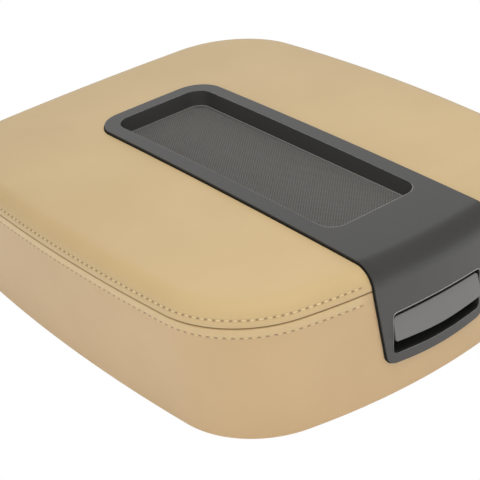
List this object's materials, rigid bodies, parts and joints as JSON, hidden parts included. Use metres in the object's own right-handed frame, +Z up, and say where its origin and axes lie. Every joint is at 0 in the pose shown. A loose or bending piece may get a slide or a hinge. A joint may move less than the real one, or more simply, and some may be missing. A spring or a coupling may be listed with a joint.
{
  "type": "center console lid",
  "caption": "Padded leather console lid with a recessed tray bezel, a pull latch in the front apron and a rear hinge.",
  "frame": {"origin": "centre of the four hinge bolt holes on the underside of the hinge base plate", "axes": "+Z up, +Y towards the rear, +X to the right as seen from the latch side; the lid lies along -Y, closed"},
  "size_m": [0.3207, 0.3951, 0.1058],
  "materials": {
    "tan_leather": "satin",
    "foam": "matte",
    "shell_plastic": "matte",
    "bezel_plastic": "satin",
    "mat_rubber": "matte",
    "screw_steel": "satin",
    "liner_plastic": "matte",
    "stop_rubber": "matte",
    "handle_plastic": "satin",
    "hook_plastic": "satin",
    "pin_steel": "satin",
    "hinge_steel": "satin"
  },
  "bodies": {
    "hinge_base": {"hinge_base_plate": "hinge_steel", "hinge_pin": "pin_steel", "hinge_pin_clips": "pin_steel"},
    "lid": {"leather_top_panel": "tan_leather", "leather_side_band": "tan_leather", "foam_pad": "foam", "lid_shell": "shell_plastic", "tray_bezel": "bezel_plastic", "tray_mat": "mat_rubber", "bezel_screws": "screw_steel", "inner_liner": "liner_plastic", "liner_screws": "screw_steel", "bump_stops": "stop_rubber", "handle_pin": "pin_steel", "hook_pin": "pin_steel", "latch_spring": "pin_steel", "hinge_lid_plate": "hinge_steel", "hinge_screws": "screw_steel"},
    "handle": {"latch_handle": "handle_plastic"},
    "hook": {"latch_hook": "hook_plastic"}
  },
  "joints": [
    {"name": "lid_hinge", "type": "hinge", "parent": "hinge_base", "child": "lid", "pos_m": [0, 0.035, 0.0045], "axis": [-1, 0, 0], "range_deg": [0, 90]},
    {"name": "handle_pivot", "type": "hinge", "parent": "lid", "child": "handle", "pos_m": [0, -0.3468, 0.0592], "axis": [-1, 0, 0], "range_deg": [0, 18]},
    {"name": "hook_pivot", "type": "hinge", "parent": "lid", "child": "hook", "pos_m": [0, -0.312, 0.0462], "axis": [1, 0, 0], "range_deg": [0, 10.8], "stiffness_Nm_per_rad": 0.1, "springref_deg": -17.19}
  ],
  "couplings": [
    {"joint": "hook_pivot", "follows": "handle_pivot", "ratio": 0.6}
  ]
}
